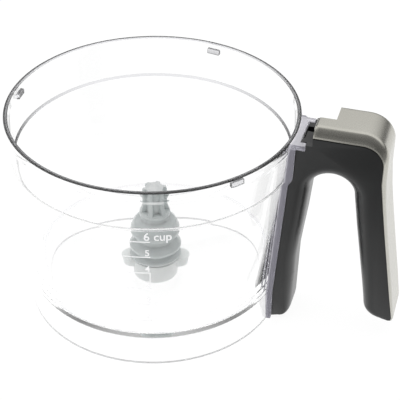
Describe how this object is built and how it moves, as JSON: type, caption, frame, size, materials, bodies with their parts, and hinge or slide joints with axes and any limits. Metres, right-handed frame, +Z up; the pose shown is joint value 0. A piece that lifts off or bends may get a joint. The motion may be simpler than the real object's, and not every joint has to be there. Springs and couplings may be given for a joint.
{
  "type": "food processor work bowl",
  "caption": "Clear food processor work bowl with side handle, splined drive spindle on a sealed hub, wing nut below the floor and a sprung interlock rod in the handle.",
  "frame": {"origin": "on the bowl's axis in the plane of the foot", "axes": "+Z up along the bowl's axis, +X from the bowl to the handle"},
  "size_m": [0.2496, 0.18, 0.1476],
  "materials": {
    "clear_plastic": "polished, see-through",
    "grip_plastic": "fine satin texture",
    "cover_plastic": "satin pewter paint",
    "steel": "bright zinc",
    "black_plastic": "satin",
    "milk_plastic": "satin, slightly translucent",
    "hub_plastic": "gloss, slightly translucent",
    "bronze": "sintered",
    "seal_rubber": "matt"
  },
  "bodies": {
    "bowl": {"bowl_shell": "clear_plastic", "handle_grip": "grip_plastic", "handle_cover": "cover_plastic", "handle_screws": "steel", "cover_screws": "steel", "screw_plugs": "grip_plastic", "interlock_housing": "black_plastic", "rod_guide": "milk_plastic", "rod_spring": "steel", "hub_body": "hub_plastic", "hub_gasket": "seal_rubber", "lower_bush": "bronze", "upper_bush": "bronze", "lip_seal": "seal_rubber"},
    "spindle": {"spindle_head": "hub_plastic", "spindle_shaft": "steel", "thrust_washer": "bronze", "retaining_clip": "steel", "drive_coupling": "milk_plastic", "coupling_pin": "steel"},
    "nut": {"lock_nut": "milk_plastic"},
    "rod": {"push_rod": "steel", "rod_button": "black_plastic", "rod_clip": "steel", "rod_tip": "milk_plastic"}
  },
  "joints": [
    {"name": "spindle_spin", "type": "hinge", "parent": "bowl", "child": "spindle", "pos_m": [0, 0, 0.03], "axis": [0, 0, 1], "continuous": true},
    {"name": "nut_twist", "type": "hinge", "parent": "bowl", "child": "nut", "pos_m": [0, 0, 0.015], "axis": [0, 0, 1], "range_deg": [0, 60]},
    {"name": "rod_press", "type": "slide", "parent": "bowl", "child": "rod", "axis": [0.0793, 0, 0.9968], "range_m": [-0.005, 0], "stiffness_N_per_m": 300, "springref_m": 0.006, "deforming": ["rod_spring"]}
  ]
}
